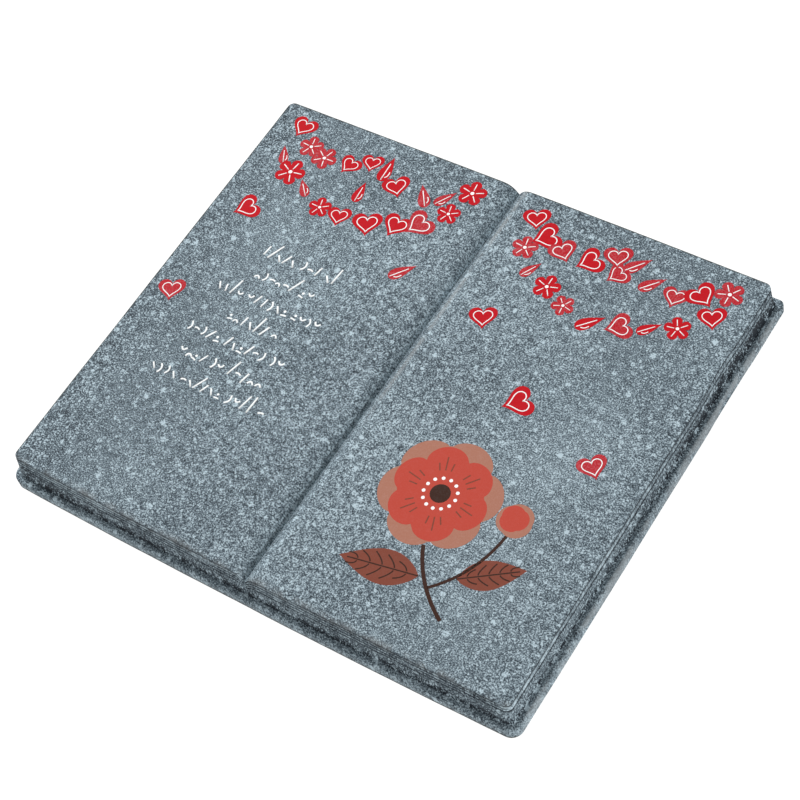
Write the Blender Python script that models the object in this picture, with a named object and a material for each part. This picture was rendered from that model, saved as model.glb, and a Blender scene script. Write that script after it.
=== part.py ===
"""Memorial plaque in the form of an open book, cast as one body.

Metres, +Z up. The book lies on its back cover with the pages up: +X runs across the open book with the
spine at x = 0, +Y runs up the page from the foot to the head, and the origin is the middle of the underside.
"""

import math

import bmesh
import bpy

# Cover board, which shows as the rim around the pages. Its corners are measured inside the rounded top edge
COVER_WIDTH = 0.2000
COVER_LENGTH = 0.1763
COVER_THICKNESS = 0.0048
COVER_FOOT_CORNER_RADIUS = 0.0030
COVER_HEAD_CORNER_RADIUS = 0.0008
COVER_TOP_EDGE_RADIUS = 0.0012
COVER_BOTTOM_EDGE_RADIUS = 0.0003
FOOT_BOW = 0.00105

# Flat ledge on the cover, from its rounded edge to the cove under the page walls
LEDGE_SIDE = 0.00060
LEDGE_FOOT = 0.00045
LEDGE_HEAD = 0.00030
COVE_RADIUS = 0.0005

# Block of pages. Its walls lean back from the cove by these amounts, and its corner is measured on the page
PAGE_BLOCK_HEIGHT = 0.0111
PAGE_FALL = 0.0006
WALL_LEAN_SIDE = 0.0005
WALL_LEAN_FOOT = 0.0012
WALL_LEAN_HEAD = 0.0007
PAGE_CORNER_RADIUS = 0.0020
PAGE_TOP_EDGE_RADIUS = 0.0005

# Gutter between the two pages at the spine. The greater its sharpness, the more of its depth is near the spine
GUTTER_DEPTH = 0.0039
GUTTER_HALF_WIDTH = 0.0070
GUTTER_SHARPNESS = 3

# Page lines cut around the walls, from the top edge down
PAGE_LINE_COUNT = 5
PAGE_LINE_FIRST_DROP = 0.0005
PAGE_LINE_WIDTH = 0.0007
PAGE_LINE_DEPTH = 0.00035
PAGE_LINE_GAP = 0.0009
PAGE_LINE_UNEVENNESS = 0.3

# Facets
CORNER_STEPS = 8
EDGE_STEPS = 5
GUTTER_STEPS = 10
PAGE_STEPS = 7

# Finish
STONE_COLOUR = (0.205, 0.262, 0.295, 1.0)
STONE_ROUGHNESS = 0.82


def clear_scene():
    for old in list(bpy.data.objects):
        bpy.data.objects.remove(old, do_unlink=True)


def cast_stone():
    material = bpy.data.materials.new("cast_stone")
    material.use_nodes = True
    shader = material.node_tree.nodes["Principled BSDF"]
    shader.inputs["Base Color"].default_value = STONE_COLOUR
    shader.inputs["Roughness"].default_value = STONE_ROUGHNESS
    shader.inputs["Metallic"].default_value = 0.0
    return material


def page_surface(x):
    """Height of the pages at x: a gentle dome to each side, rolling over into the gutter at the spine."""
    across = abs(x)
    dome = PAGE_FALL * (across / (COVER_WIDTH / 2)) ** 2
    into_gutter = max(0.0, 1.0 - across / GUTTER_HALF_WIDTH)
    return COVER_THICKNESS + PAGE_BLOCK_HEIGHT - dome - GUTTER_DEPTH * into_gutter**GUTTER_SHARPNESS


def run_across(half_run):
    """Places in x along a foot or head edge, close together over the gutter, without the edge's own ends."""
    gutter = [GUTTER_HALF_WIDTH * i / GUTTER_STEPS for i in range(GUTTER_STEPS + 1)]
    page = half_run - GUTTER_HALF_WIDTH
    right = gutter + [GUTTER_HALF_WIDTH + page * i / PAGE_STEPS for i in range(1, PAGE_STEPS)]
    return [-x for x in reversed(right[1:])] + right


def edge_row(half_width, corner):
    """Row of (x, rise into the board) along the foot or the head, with a quarter round at each end."""
    half_run = half_width - corner
    quarter = [math.pi / 2 * i / CORNER_STEPS for i in range(CORNER_STEPS + 1)]
    right_turn = [(half_run + corner * math.sin(a), corner * (1 - math.cos(a))) for a in quarter]
    left_turn = [(-x, rise) for x, rise in reversed(right_turn)]
    return left_turn + [(x, 0.0) for x in run_across(half_run)] + right_turn


def outline(side, foot, head, foot_corner, head_corner):
    """Closed row of (x, y), anticlockwise from the left end of the foot, inset from the cover's own edges.

    The foot edge bows outwards in the middle. The second half of the row runs back along the head with as
    many points, so each point has its partner up the page.
    """
    half_width = COVER_WIDTH / 2 - side
    foot_edge = foot - COVER_LENGTH / 2
    head_edge = COVER_LENGTH / 2 - head
    foot_row = edge_row(half_width, foot_corner)
    head_row = edge_row(half_width, head_corner)
    bowed = [(x, foot_edge + rise + FOOT_BOW * (x / half_width) ** 2) for x, rise in foot_row]
    return bowed + [(x, head_edge - rise) for x, rise in reversed(head_row)]


def cover_courses():
    """Courses up the cover's edge and over its top onto the ledge."""
    courses = []

    def course(inset, height):
        wider = COVER_TOP_EDGE_RADIUS - inset
        row = outline(inset, inset, inset, COVER_FOOT_CORNER_RADIUS + wider, COVER_HEAD_CORNER_RADIUS + wider)
        courses.append([(x, y, height) for x, y in row])

    course(COVER_BOTTOM_EDGE_RADIUS, 0.0)
    course(0.0, COVER_BOTTOM_EDGE_RADIUS)
    for i in range(EDGE_STEPS + 1):
        angle = math.pi / 2 * i / EDGE_STEPS
        inset = COVER_TOP_EDGE_RADIUS * (1 - math.cos(angle))
        course(inset, COVER_THICKNESS - COVER_TOP_EDGE_RADIUS * (1 - math.sin(angle)))
    return courses


def page_line_cuts(wall_height):
    """Rows of (drop below the wall's top, depth of cut) down the wall: each line is a V, unevenly spaced."""
    cuts = []
    drop = PAGE_LINE_FIRST_DROP
    for line in range(PAGE_LINE_COUNT):
        if drop + PAGE_LINE_WIDTH > wall_height:
            break
        cuts.append((drop, 0.0))
        cuts.append((drop + PAGE_LINE_WIDTH / 2, PAGE_LINE_DEPTH))
        cuts.append((drop + PAGE_LINE_WIDTH, 0.0))
        drop += PAGE_LINE_WIDTH + PAGE_LINE_GAP * (1 + PAGE_LINE_UNEVENNESS * math.sin(line * line))
    return cuts


def page_courses():
    """Courses from the ledge through the cove, up the page wall with its lines, and over the top edge.

    A course lies at a share of the way up the wall, which stands on the cove and ends under the rounded top
    edge, so the lines follow the dome and dip with the gutter.
    """
    wall_foot = COVER_THICKNESS + COVE_RADIUS
    wall_height = PAGE_BLOCK_HEIGHT - COVE_RADIUS - PAGE_TOP_EDGE_RADIUS
    wall_inset = COVER_TOP_EDGE_RADIUS + COVE_RADIUS
    courses = []

    def course(share, out, rise=0.0):
        corner = PAGE_CORNER_RADIUS + PAGE_TOP_EDGE_RADIUS + out
        row = outline(
            wall_inset + LEDGE_SIDE + WALL_LEAN_SIDE * share - out,
            wall_inset + LEDGE_FOOT + WALL_LEAN_FOOT * share - out,
            wall_inset + LEDGE_HEAD + WALL_LEAN_HEAD * share - out,
            corner,
            corner,
        )
        points = []
        for x, y in row:
            local_wall = page_surface(x) - PAGE_TOP_EDGE_RADIUS - wall_foot
            points.append((x, y, wall_foot + share * local_wall + rise))
        courses.append(points)

    for i in range(EDGE_STEPS + 1):
        angle = math.pi / 2 * i / EDGE_STEPS
        course(0.0, COVE_RADIUS * (1 - math.sin(angle)), -COVE_RADIUS * math.cos(angle))
    for drop, depth in reversed(page_line_cuts(wall_height)):
        course(1.0 - drop / wall_height, -depth)
    for i in range(EDGE_STEPS + 1):
        angle = math.pi / 2 * i / EDGE_STEPS
        out = -PAGE_TOP_EDGE_RADIUS * (1 - math.cos(angle))
        course(1.0, out, PAGE_TOP_EDGE_RADIUS * math.sin(angle))
    return courses


def loft(courses):
    """Closed mesh through the courses. The first and last are closed by strips running up the page."""
    mesh = bmesh.new()
    rows = [[mesh.verts.new(point) for point in course] for course in courses]
    count = len(rows[0])
    for lower, upper in zip(rows, rows[1:]):
        for i in range(count):
            j = (i + 1) % count
            mesh.faces.new((lower[i], lower[j], upper[j], upper[i]))
    for i in range(count // 2 - 1):
        foot_left, foot_right, head_right, head_left = i, i + 1, count - 2 - i, count - 1 - i
        strip = (foot_left, foot_right, head_right, head_left)
        mesh.faces.new([rows[-1][k] for k in strip])
        mesh.faces.new([rows[0][k] for k in reversed(strip)])
    bmesh.ops.triangulate(mesh, faces=mesh.faces)
    return mesh


def open_book_plaque(collection):
    shape = loft(cover_courses() + page_courses())
    mesh = bpy.data.meshes.new("open_book_plaque")
    shape.to_mesh(mesh)
    shape.free()
    mesh.materials.append(cast_stone())
    mesh.shade_smooth()
    mesh.set_sharp_from_angle(angle=math.radians(35))
    plaque = bpy.data.objects.new("open_book_plaque", mesh)
    collection.objects.link(plaque)
    return plaque


def build():
    clear_scene()
    collection = bpy.data.collections.new("memorial_plaque")
    bpy.context.scene.collection.children.link(collection)
    open_book_plaque(collection)


build()
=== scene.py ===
"""Memorial plaque: an open book cast in speckled stone resin, with a print in red, brown and white."""

import math

import bpy
import numpy as np
from mathutils import Matrix, Vector


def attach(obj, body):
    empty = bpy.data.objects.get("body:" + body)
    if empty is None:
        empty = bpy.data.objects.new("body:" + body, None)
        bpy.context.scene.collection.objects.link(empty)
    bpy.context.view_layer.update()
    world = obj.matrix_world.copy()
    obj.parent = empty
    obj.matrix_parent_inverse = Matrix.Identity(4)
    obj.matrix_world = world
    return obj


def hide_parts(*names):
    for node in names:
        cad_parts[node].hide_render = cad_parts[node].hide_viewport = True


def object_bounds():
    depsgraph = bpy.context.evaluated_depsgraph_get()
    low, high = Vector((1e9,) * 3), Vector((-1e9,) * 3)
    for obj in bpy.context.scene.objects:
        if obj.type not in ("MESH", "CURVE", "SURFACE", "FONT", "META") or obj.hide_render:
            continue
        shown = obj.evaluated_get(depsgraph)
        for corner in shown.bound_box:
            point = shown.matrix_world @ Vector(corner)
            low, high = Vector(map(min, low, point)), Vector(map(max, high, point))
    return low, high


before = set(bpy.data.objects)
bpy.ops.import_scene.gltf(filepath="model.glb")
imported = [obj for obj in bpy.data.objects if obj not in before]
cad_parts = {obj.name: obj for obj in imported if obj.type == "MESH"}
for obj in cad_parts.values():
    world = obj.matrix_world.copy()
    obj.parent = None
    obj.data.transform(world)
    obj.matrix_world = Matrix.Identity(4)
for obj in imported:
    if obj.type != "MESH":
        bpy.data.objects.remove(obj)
cad_low, cad_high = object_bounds()

# The casting
# One body of resin filled with stone powder: the cover board, the ledge, the block of pages and the gutter.
# It comes out of a soft mould, so its edges are rounded and waver a little. It lies by its own weight.

COVER_WIDTH = cad_high.x - cad_low.x
COVER_LENGTH = cad_high.y - cad_low.y
COVER_THICKNESS = 0.0048
COVER_FOOT_CORNER_RADIUS = 0.0030
COVER_HEAD_CORNER_RADIUS = 0.0008
COVER_TOP_EDGE_RADIUS = 0.0012
COVER_BOTTOM_EDGE_RADIUS = 0.0003
FOOT_BOW = 0.00105
LEDGE_SIDE = 0.00060
LEDGE_FOOT = 0.00045
LEDGE_HEAD = 0.00030
COVE_RADIUS = 0.0005
WALL_LEAN_SIDE = 0.0005
WALL_LEAN_FOOT = 0.0012
WALL_LEAN_HEAD = 0.0007
PAGE_CORNER_RADIUS = 0.0020
PAGE_TOP_EDGE_RADIUS = 0.0005
PAGE_FALL = 0.0006
GUTTER_DEPTH = 0.0039
GUTTER_HALF_WIDTH = 0.0070
GUTTER_SHARPNESS = 3
INK_ALLOWANCE = 0.0001
PAGE_TOP = cad_high.z - INK_ALLOWANCE

# Painted light and shade on the casting: each point carries a number by which its colour is darkened as
# painted shade, most in the cove and low on the page walls. Below zero it is painted light, on the cover's rim
# and near the tops of the walls. The numbers below set it and tilt it the way the lamps fall.
RIM_PAINTED_SHADE = -0.15
PAINTED_SHADE_FADE = 2.8
WALL_TOP_PAINTED_SHADE = -0.38
WALL_TOP_FADE = 1.5
FAR_PAINTED_SHADE = 2.2
FAR_SPREAD = 1.1
MOST_PAINTED_SHADE = 1.8
RIGHT_REACH = 2.0
OPEN_TILT = 1.5
CORNER_OPEN = 0.004
CORNER_FADE = 0.009

FACET_ALONG = 0.0016
FACET_UP_WALL = 0.00012
CORNER_STEPS = 10
EDGE_STEPS = 7
RIM_STEPS = 4
GUTTER_STEPS = 20


def page_height(x):
    """Height of the pages at x, for a number or for a reading in a node tree."""
    across = abs(x)
    inside_gutter = 1 - across / GUTTER_HALF_WIDTH
    into_gutter = (inside_gutter + abs(inside_gutter)) / 2
    fall = PAGE_FALL * (across / (COVER_WIDTH / 2)) ** 2
    return PAGE_TOP - fall - GUTTER_DEPTH * into_gutter**GUTTER_SHARPNESS


def inner_steps(start, end, count):
    return [start + (end - start) * i / count for i in range(1, count)]


def edge_row(half_width, corner):
    """Row of (x, rise into the board) along the foot or the head, with a quarter round at each end."""
    half_run = half_width - corner
    page_steps = round((COVER_WIDTH / 2 - GUTTER_HALF_WIDTH) / FACET_ALONG)
    gutter = inner_steps(0, GUTTER_HALF_WIDTH, GUTTER_STEPS)
    right = gutter + [GUTTER_HALF_WIDTH] + inner_steps(GUTTER_HALF_WIDTH, half_run, page_steps)
    across = [-x for x in reversed(right)] + [0.0] + right
    quarter = [math.pi / 2 * i / CORNER_STEPS for i in range(CORNER_STEPS + 1)]
    right_turn = [(half_run + corner * math.sin(a), corner * (1 - math.cos(a))) for a in quarter]
    left_turn = [(-x, rise) for x, rise in reversed(right_turn)]
    return left_turn + [(x, 0.0) for x in across] + right_turn


def outline(side, foot, head, foot_corner, head_corner):
    """Closed row of points, anticlockwise from the left end of the foot, inset from the cover's edges."""
    half_width = COVER_WIDTH / 2 - side
    side_steps = round(COVER_LENGTH / FACET_ALONG)
    foot_edge = foot - COVER_LENGTH / 2
    head_edge = COVER_LENGTH / 2 - head
    foot_row = []
    for x, rise in edge_row(half_width, foot_corner):
        foot_row.append((x, foot_edge + rise + FOOT_BOW * (x / half_width) ** 2))
    head_row = [(x, head_edge - rise) for x, rise in reversed(edge_row(half_width, head_corner))]
    up_side = inner_steps(foot_row[-1][1], head_row[0][1], side_steps)
    right_side = [(half_width, y) for y in up_side]
    left_side = [(-half_width, y) for y in reversed(up_side)]
    return foot_row + right_side + head_row + left_side, len(foot_row), len(up_side)


def casting_courses():
    """Courses of points from the underside to the pages, each with two numbers of its own.

    The first is how far down the page wall it lies, and -1 off the wall. The second is the painted shade it
    gets:
    1 in the cove, 0 in the open, and below 0, as painted light, on the rim and near the tops of the walls.
    """
    wall_foot = COVER_THICKNESS + COVE_RADIUS
    wall_height = PAGE_TOP - PAGE_TOP_EDGE_RADIUS - wall_foot
    wall_inset = COVER_TOP_EDGE_RADIUS + COVE_RADIUS
    quarter = [math.pi / 2 * i / EDGE_STEPS for i in range(EDGE_STEPS + 1)]
    courses = []

    def cover_course(inset, height, shelter=RIM_PAINTED_SHADE):
        wider = COVER_TOP_EDGE_RADIUS - inset
        corners = COVER_FOOT_CORNER_RADIUS + wider, COVER_HEAD_CORNER_RADIUS + wider
        row, _, _ = outline(inset, inset, inset, *corners)
        courses.append(([(x, y, height) for x, y in row], -1.0, shelter))

    def page_course(share, out, rise=0.0, drop=-1.0, shelter=0.0):
        corner = PAGE_CORNER_RADIUS + PAGE_TOP_EDGE_RADIUS + out
        row, _, _ = outline(
            wall_inset + LEDGE_SIDE + WALL_LEAN_SIDE * share - out,
            wall_inset + LEDGE_FOOT + WALL_LEAN_FOOT * share - out,
            wall_inset + LEDGE_HEAD + WALL_LEAN_HEAD * share - out,
            corner,
            corner,
        )
        points = []
        for x, y in row:
            local_wall = page_height(x) - PAGE_TOP_EDGE_RADIUS - wall_foot
            points.append((x, y, wall_foot + share * local_wall + rise))
        courses.append((points, drop, shelter))

    # Painted light on the rim, full painted shade in the cove, and on the walls painted shade that fades
    # upwards and turns to painted light near their tops.
    for angle in quarter:
        inset = COVER_BOTTOM_EDGE_RADIUS * (1 - math.sin(angle))
        cover_course(inset, COVER_BOTTOM_EDGE_RADIUS * (1 - math.cos(angle)))
    rim_top = COVER_THICKNESS - COVER_TOP_EDGE_RADIUS
    for height in inner_steps(COVER_BOTTOM_EDGE_RADIUS, rim_top, RIM_STEPS):
        cover_course(0.0, height)
    for angle in quarter:
        inset = COVER_TOP_EDGE_RADIUS * (1 - math.cos(angle))
        shelter = RIM_PAINTED_SHADE * (1 - math.sin(angle) ** 4)
        cover_course(inset, COVER_THICKNESS - COVER_TOP_EDGE_RADIUS * (1 - math.sin(angle)), shelter)
    for angle in quarter:
        out = COVE_RADIUS * (1 - math.sin(angle))
        page_course(0.0, out, -COVE_RADIUS * math.cos(angle), shelter=math.sin(angle) ** 2)
    for share in inner_steps(0.0, 1.0, round(wall_height / FACET_UP_WALL)):
        shelter = (1.0 - share) ** PAINTED_SHADE_FADE + WALL_TOP_PAINTED_SHADE * share**WALL_TOP_FADE
        page_course(share, 0.0, drop=(1.0 - share) * wall_height, shelter=shelter)
    for angle in quarter:
        out = -PAGE_TOP_EDGE_RADIUS * (1 - math.cos(angle))
        page_course(1.0, out, PAGE_TOP_EDGE_RADIUS * math.sin(angle), drop=0.0)
    return courses


def sprayed(points, shelter):
    """The painted shade at each point, tilted the way the lamps fall across the casting.

    The corners on the left get none. On the right the painted shade reaches higher up the wall at the far end.
    The painted light, where the number is below zero, is stronger on the left and at the near end.
    """
    x, y, _ = np.array(points).T
    from_corner = np.hypot(x + COVER_WIDTH / 2, np.abs(y) - COVER_LENGTH / 2)
    off_corner = np.clip((from_corner - CORNER_OPEN) / CORNER_FADE, 0.0, 1.0)
    on_right = np.clip(RIGHT_REACH - (COVER_WIDTH / 2 - x) / CORNER_OPEN, 0.0, 1.0)
    far = on_right * y / (COVER_LENGTH / 2)
    shade_tilt = (1.0 - on_right) * x / (COVER_WIDTH / 2) + far
    in_painted_shade = np.maximum(shelter, 0.0) ** np.exp(-FAR_SPREAD * far)
    in_painted_shade = in_painted_shade * (1.0 + FAR_PAINTED_SHADE * np.maximum(far, 0.0))
    in_painted_light = np.minimum(shelter, 0.0) * (1.0 - OPEN_TILT * shade_tilt)
    return off_corner * (np.minimum(in_painted_shade, MOST_PAINTED_SHADE) + in_painted_light)


def lofted_casting():
    """Closed mesh through the courses, with each point's place on the page walls and its painted shade as
    attributes.
    """
    courses = casting_courses()
    row, foot_count, side_count = outline(0.0, 0.0, 0.0, COVER_FOOT_CORNER_RADIUS, COVER_HEAD_CORNER_RADIUS)
    count = len(row)
    points = [point for course, _, _ in courses for point in course]
    faces = []
    for level in range(len(courses) - 1):
        low = level * count
        for i in range(count):
            j = (i + 1) % count
            faces.append((low + i, low + j, low + count + j, low + count + i))
    head_start = foot_count + side_count
    head_end = head_start + foot_count - 1
    for level, upwards in ((0, False), (len(courses) - 1, True)):
        first = level * count
        for i in range(foot_count - 1):
            strip = [i, i + 1, head_end - i - 1, head_end - i]
            if i == 0:
                strip = [0, 1, head_end - 1, head_end] + list(range(head_end + 1, count))
            if i == foot_count - 2:
                strip = [i] + list(range(i + 1, head_start + 1)) + [head_start + 1]
            faces.append([first + k for k in (strip if upwards else reversed(strip))])
    mesh = bpy.data.meshes.new("casting")
    mesh.from_pydata(points, [], faces)
    flat = np.array(row)
    steps = np.hypot(*np.diff(flat, axis=0, append=flat[:1]).T)
    around = np.concatenate([[0.0], np.cumsum(steps)[:-1]])
    shelter = np.repeat([shelter for _, _, shelter in courses], count)
    for name, values in {
        "around": np.tile(around, len(courses)),
        "drop": np.repeat([drop for _, drop, _ in courses], count),
        "sheltered": sprayed(points, shelter),
    }.items():
        mesh.attributes.new(name, "FLOAT", "POINT").data.foreach_set("value", values)
    return mesh


class Reading:
    """A socket in a node tree that sums are written with."""

    def __init__(self, bench, socket):
        self.bench = bench
        self.socket = socket

    def math(self, operation, *values):
        return self.bench.math(operation, self, *values)

    def other(self, output):
        """Another output of the same node."""
        return Reading(self.bench, self.socket.node.outputs[output])

    def __add__(self, other):
        return self.bench.math("ADD", self, other)

    __radd__ = __add__

    def __sub__(self, other):
        return self.bench.math("SUBTRACT", self, other)

    def __rsub__(self, other):
        return self.bench.math("SUBTRACT", other, self)

    def __mul__(self, other):
        return self.bench.math("MULTIPLY", self, other)

    __rmul__ = __mul__

    def __truediv__(self, other):
        return self.bench.math("DIVIDE", self, other)

    def __pow__(self, other):
        return self.bench.math("POWER", self, other)

    def __abs__(self):
        return self.bench.math("ABSOLUTE", self)

    def between(self, low, high):
        """0 below low, 1 above high, and a smooth step from one to the other."""
        ends = {1: low, 2: high, 3: 0.0, 4: 1.0}
        settings = {"interpolation_type": "SMOOTHSTEP"}
        return self.bench.node("ShaderNodeMapRange", settings, {0: self, **ends})


class Bench:
    """Adds nodes to one tree and joins them up."""

    def __init__(self, tree):
        self.tree = tree

    def feed(self, socket, value):
        if isinstance(value, list):
            for one in value:
                self.tree.links.new(one.socket, socket)
        elif isinstance(value, Reading):
            self.tree.links.new(value.socket, socket)
        else:
            socket.default_value = value

    def node(self, kind, settings=None, sockets=None, output=0):
        made = self.tree.nodes.new(kind)
        for name, value in (settings or {}).items():
            if name == "stops":
                while len(made.color_ramp.elements) < len(value):
                    made.color_ramp.elements.new(1.0)
                for stop, (place, colour) in zip(made.color_ramp.elements, value):
                    stop.position = place
                    stop.color = colour
            else:
                setattr(made, name, value)
        for name, value in (sockets or {}).items():
            self.feed(made.inputs[name], value)
        return Reading(self, made.outputs[output]) if made.outputs else made

    def math(self, operation, *values):
        return self.node("ShaderNodeMath", {"operation": operation}, dict(enumerate(values)))

    def colour_mix(self, share, first, second):
        return self.node("ShaderNodeMix", {"data_type": "RGBA"}, {0: share, 6: first, 7: second}, 2)

    def noise(self, place, size, detail=2.0, roughness=0.5):
        """Noise whose lumps are about as large as size, in metres, from 0 to 1."""
        sockets = {"Vector": place, "Scale": 1 / size, "Detail": detail, "Roughness": roughness}
        return self.node("ShaderNodeTexNoise", {}, sockets)


class ShapeBench(Bench):
    """A geometry tree with named inputs, and the steps that every tree here uses."""

    def __init__(self, name, **inputs):
        super().__init__(bpy.data.node_groups.new(name, "GeometryNodeTree"))
        self.tree.interface.new_socket("Geometry", in_out="OUTPUT", socket_type="NodeSocketGeometry")
        self.tree.interface.new_socket("Geometry", in_out="INPUT", socket_type="NodeSocketGeometry")
        for label, kind in inputs.items():
            name = label.replace("_", " ")
            self.tree.interface.new_socket(name, in_out="INPUT", socket_type="NodeSocket" + kind)
        self.given = self.tree.nodes.new("NodeGroupInput")

    def input(self, name):
        return Reading(self, self.given.outputs[name])

    def vector(self, x=0.0, y=0.0, z=0.0):
        return self.node("ShaderNodeCombineXYZ", {}, {0: x, 1: y, 2: z})

    def place(self):
        """The three coordinates of the point that is being worked on."""
        split = self.node("ShaderNodeSeparateXYZ", {}, {0: self.node("GeometryNodeInputPosition")})
        outputs = split.socket.node.outputs
        return [Reading(self, socket) for socket in outputs]

    def put(self, geometry, position):
        sockets = {"Geometry": geometry, "Position": position}
        return self.node("GeometryNodeSetPosition", {}, sockets)

    def mark(self, geometry, name, value, domain="POINT"):
        sockets = {"Geometry": geometry, "Name": name, "Value": value}
        settings = {"data_type": "FLOAT", "domain": domain}
        return self.node("GeometryNodeStoreNamedAttribute", settings, sockets)

    def marked(self, name):
        return self.node("GeometryNodeInputNamedAttribute", {"data_type": "FLOAT"}, {"Name": name})

    def random(self, low, high, seed):
        sockets = {2: low, 3: high, "Seed": seed}
        return self.node("FunctionNodeRandomValue", {"data_type": "FLOAT"}, sockets, 1)

    def close(self, geometry, *materials):
        """Ends the tree. Each material comes with its selection, and the first one goes on everything."""
        geometry = self.node("GeometryNodeRealizeInstances", {}, {"Geometry": geometry})
        for material, selection in materials:
            sockets = {"Geometry": geometry, "Material": material, "Selection": selection}
            geometry = self.node("GeometryNodeSetMaterial", {}, sockets)
        self.feed(self.tree.nodes.new("NodeGroupOutput").inputs[0], geometry)

    def run(self, name, mesh, **sizes):
        """Runs the tree on a mesh and keeps the result as a plain mesh object."""
        source = bpy.data.objects.new(name, mesh)
        bpy.context.scene.collection.objects.link(source)
        modifier = source.modifiers.new(self.tree.name, "NODES")
        modifier.node_group = self.tree
        for item in self.tree.interface.items_tree:
            label = item.name.replace(" ", "_")
            if item.in_out == "INPUT" and label in sizes:
                modifier[item.identifier] = sizes[label]
        graph = bpy.context.evaluated_depsgraph_get()
        made = bpy.data.meshes.new_from_object(
            source.evaluated_get(graph), preserve_all_data_layers=True, depsgraph=graph
        )
        source.modifiers.clear()
        source.data = made
        return source


GRAIN_WEIGHT = 0.76
CLUMP_WEIGHT = 0.16
CLOUD_WEIGHT = 0.08
TONE_DROP = 0.035
GRAIN_SIZE = 0.00048
CLUMP_SIZE = 0.0030
CLOUD_SIZE = 0.045
RAGGED_SIZE = 0.0012
RAGGED_REACH = 0.0007
DROP_STRETCH = 1.7
SPECK_SPACING = 0.0012
SPECK_REACH = 0.62
SPECK_SHARE = 0.75
SPECK_LIFT = 0.085
SPLAT_SPACING = 0.0038
SPLAT_REACH = 0.34
SPLAT_SHARE = 0.8
SPLAT_LIFT = 0.12
SPLAT_EDGE = 0.55, 1.1
SPARK_ENDS = 0.54, 0.68
BLOTCH_SIZE = 0.0035
BLOTCH_ENDS = 0.38, 0.62
# How the painted shade darkens the speckle, and how far its pale specks and sparks are lifted there so that
# they still show.
PAINTED_SHADE_DARKENS = 0.15
PAINTED_SHADE_EVEN = 0.45
PAINTED_SHADE_BLOTCHED = 1.1
SPECK_LIFT_IN_PAINTED_SHADE = 0.13
SPARK_LIFT_IN_PAINTED_SHADE = 0.20
GRAIN_DEEP = (0.010, 0.015, 0.021, 1.0)
GRAIN_DARK = (0.055, 0.075, 0.092, 1.0)
GRAIN_MIDDLE = (0.150, 0.195, 0.225, 1.0)
GRAIN_LIGHT = (0.420, 0.520, 0.575, 1.0)
STONE_ROUGHNESS = 0.8
STONE_GLOSS = 0.2
STONE_SMOOTHER = 0.12
STONE_RELIEF = 0.00003


def splats(bench, place, spacing, reach, share):
    """1 on pale splats of many sizes, 0 beside them. Share is how many of the places hold one."""
    from_middle = bench.node("ShaderNodeTexVoronoi", {}, {"Vector": place, "Scale": 1 / spacing})
    draw = bench.node("ShaderNodeSeparateColor", {}, {0: from_middle.other("Color")})
    size = (draw - (1 - share)) / share * reach
    return (1 - (from_middle / size).between(*SPLAT_EDGE)) * size.math("GREATER_THAN", 0.0)


def stone_colour(bench, sheltered=0.0, painted_light=0.0, unsplashed=0.0):
    """Blue-grey speckle: fine grain with pale specks and splats on it, drawn out a little down the walls.

    It is darker by the painted shade, and lighter where that is below zero and by the painted light. In the
    painted shade its pale specks are lifted so that they still show. It has no splats where it is unsplashed.
    """
    place = bench.node("ShaderNodeTexCoord", {}, {}, "Object")
    drawn_out = {0: place, 1: (1.0, 1.0, 1 / DROP_STRETCH)}
    place = bench.node("ShaderNodeVectorMath", {"operation": "MULTIPLY"}, drawn_out)
    grain = bench.noise(place, GRAIN_SIZE, 2.0, 0.6)
    clumps = bench.noise(place, CLUMP_SIZE, 2.0)
    clouds = bench.noise(place, CLOUD_SIZE, 1.0)
    ragged = bench.noise(place, RAGGED_SIZE).other("Color")
    ragged = bench.node("ShaderNodeVectorMath", {"operation": "SCALE"}, {0: ragged, "Scale": RAGGED_REACH})
    moved = bench.node("ShaderNodeVectorMath", {"operation": "ADD"}, {0: place, 1: ragged})
    speck = splats(bench, moved, SPECK_SPACING, SPECK_REACH, SPECK_SHARE)
    splat = splats(bench, moved, SPLAT_SPACING, SPLAT_REACH, SPLAT_SHARE) * (1 - unsplashed)
    blotch = bench.noise(place, BLOTCH_SIZE, 2.0).between(*BLOTCH_ENDS)
    matrix = GRAIN_WEIGHT * grain + CLUMP_WEIGHT * clumps + CLOUD_WEIGHT * clouds
    # The painted shade darkens the matrix in blotches; below zero it lightens it as painted light.
    matrix = matrix - PAINTED_SHADE_DARKENS * sheltered * (PAINTED_SHADE_EVEN + PAINTED_SHADE_BLOTCHED * blotch)
    spark = grain.between(*SPARK_ENDS)
    bared = bench.math("MINIMUM", sheltered, 1.0)
    in_painted_shade = bared * (SPECK_LIFT_IN_PAINTED_SHADE * speck + SPARK_LIFT_IN_PAINTED_SHADE * spark)
    tone = matrix + SPECK_LIFT * speck + SPLAT_LIFT * splat + in_painted_shade + painted_light - TONE_DROP
    stops = [(0.30, GRAIN_DEEP), (0.40, GRAIN_DARK), (0.49, GRAIN_MIDDLE), (0.60, GRAIN_LIGHT)]
    return bench.node("ShaderNodeValToRGB", {"stops": stops}, {"Fac": tone}), grain


def new_finish(name):
    material = bpy.data.materials.new(name)
    material.use_nodes = True
    material.node_tree.nodes.clear()
    return material, Bench(material.node_tree)


def shade(bench, colour, roughness, gloss, height, lift):
    """Ends a finish: a matt body in that colour, with fine relief."""
    bump = bench.node("ShaderNodeBump", {}, {"Height": height, "Distance": lift, "Strength": 1.0})
    sockets = {"Base Color": colour, "Roughness": roughness, "Specular IOR Level": gloss, "Normal": bump}
    body = bench.node("ShaderNodeBsdfPrincipled", {}, sockets)
    bench.node("ShaderNodeOutputMaterial", {}, {"Surface": body})


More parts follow.
